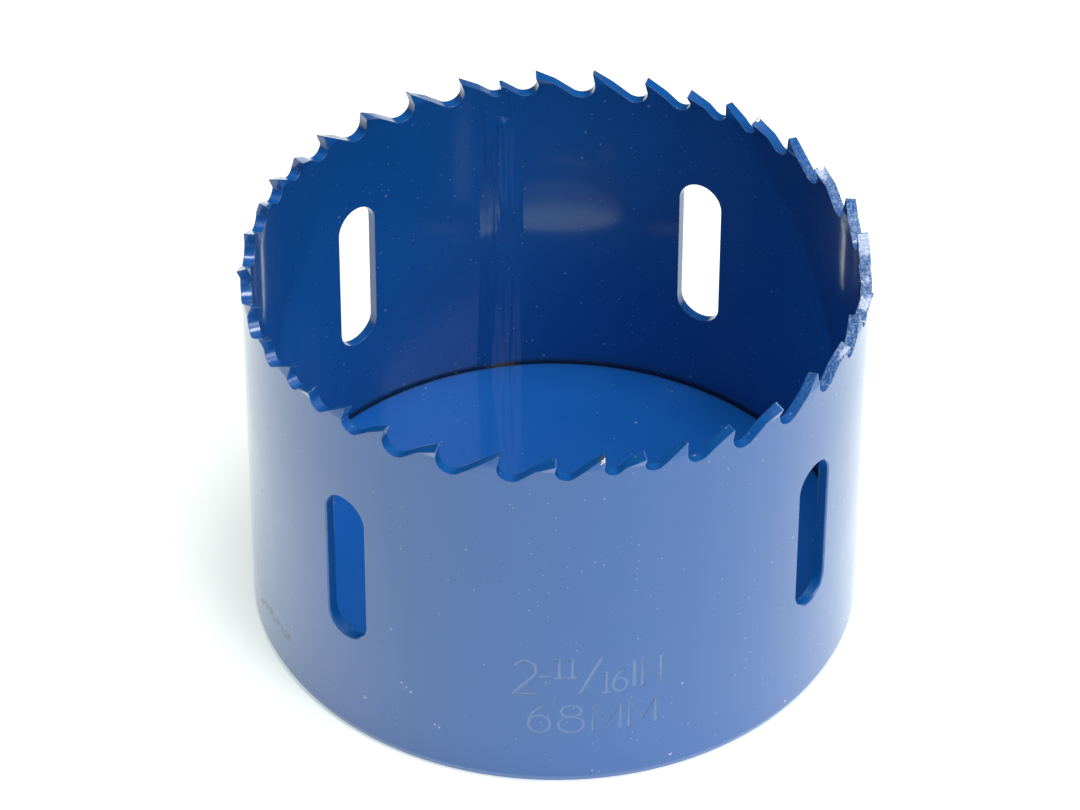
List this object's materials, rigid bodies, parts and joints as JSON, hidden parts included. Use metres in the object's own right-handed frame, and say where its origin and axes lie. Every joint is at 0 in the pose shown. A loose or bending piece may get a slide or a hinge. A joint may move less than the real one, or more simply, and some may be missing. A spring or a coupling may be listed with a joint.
{
  "type": "hole saw",
  "caption": "Cup-shaped hole saw: a slotted round wall with variable-pitch set teeth, welded round a backplate with a threaded arbor hole and drive-pin holes.",
  "frame": {"origin": "on the saw's axis, in the rear face of the backplate that it stands on", "axes": "+Z along the axis towards the teeth; seen from above, the strip's butt weld is 100.9 degrees anticlockwise from +X"},
  "size_m": [0.0675, 0.0677, 0.0451],
  "materials": {
    "toothed_wall": "gloss blue paint over bi-metal steel strip",
    "backplate": "gloss blue paint over plate steel"
  },
  "bodies": {
    "root": {"toothed_wall": "toothed_wall", "backplate": "backplate"}
  },
  "joints": []
}
